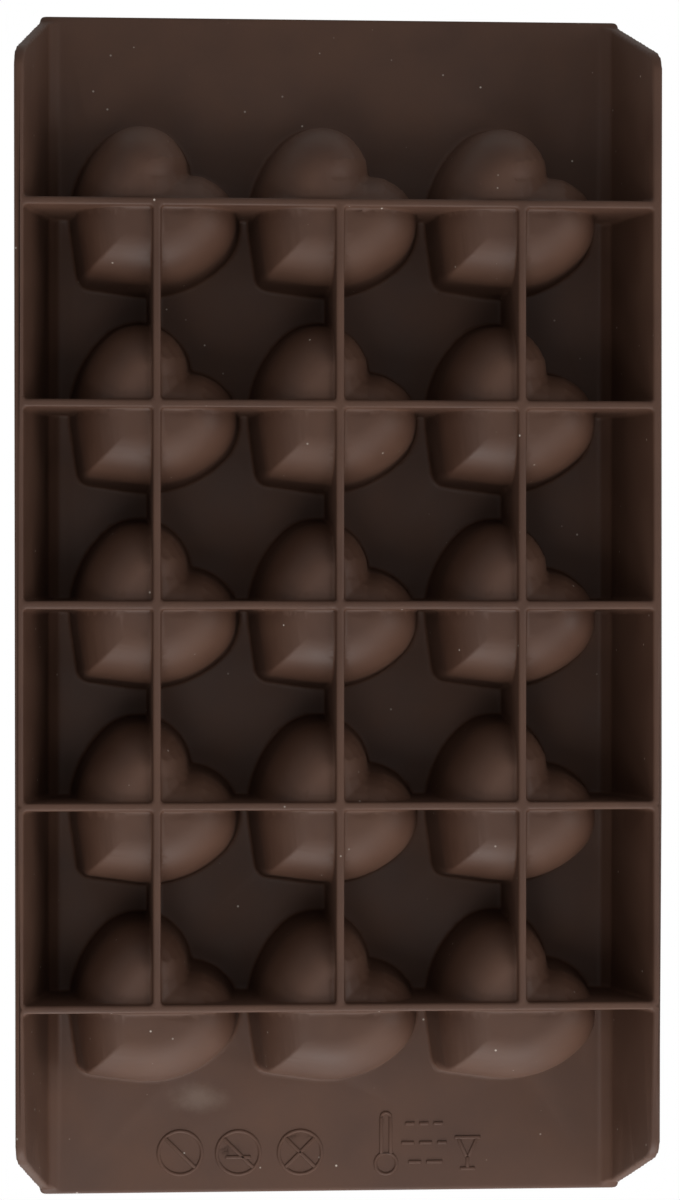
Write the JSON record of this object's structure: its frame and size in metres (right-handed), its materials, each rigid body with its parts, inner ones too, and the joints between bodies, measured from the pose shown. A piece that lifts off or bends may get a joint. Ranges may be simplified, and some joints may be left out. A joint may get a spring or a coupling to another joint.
{
  "type": "chocolate mould",
  "caption": "Flexible mould for filled chocolates: heart-shaped pockets in a flat plate, with two leaning skirts along its sides and a grid of ribs underneath.",
  "frame": {"origin": "centre of the flat face, on the plane that the mould lies on when it is face down", "axes": "+Y along the length, +X across the width, +Z from the flat face towards the underside's ribs"},
  "size_m": [0.1154, 0.214, 0.025],
  "materials": {
    "silicone": "satin"
  },
  "bodies": {
    "root": {"mould": "silicone"}
  },
  "joints": []
}
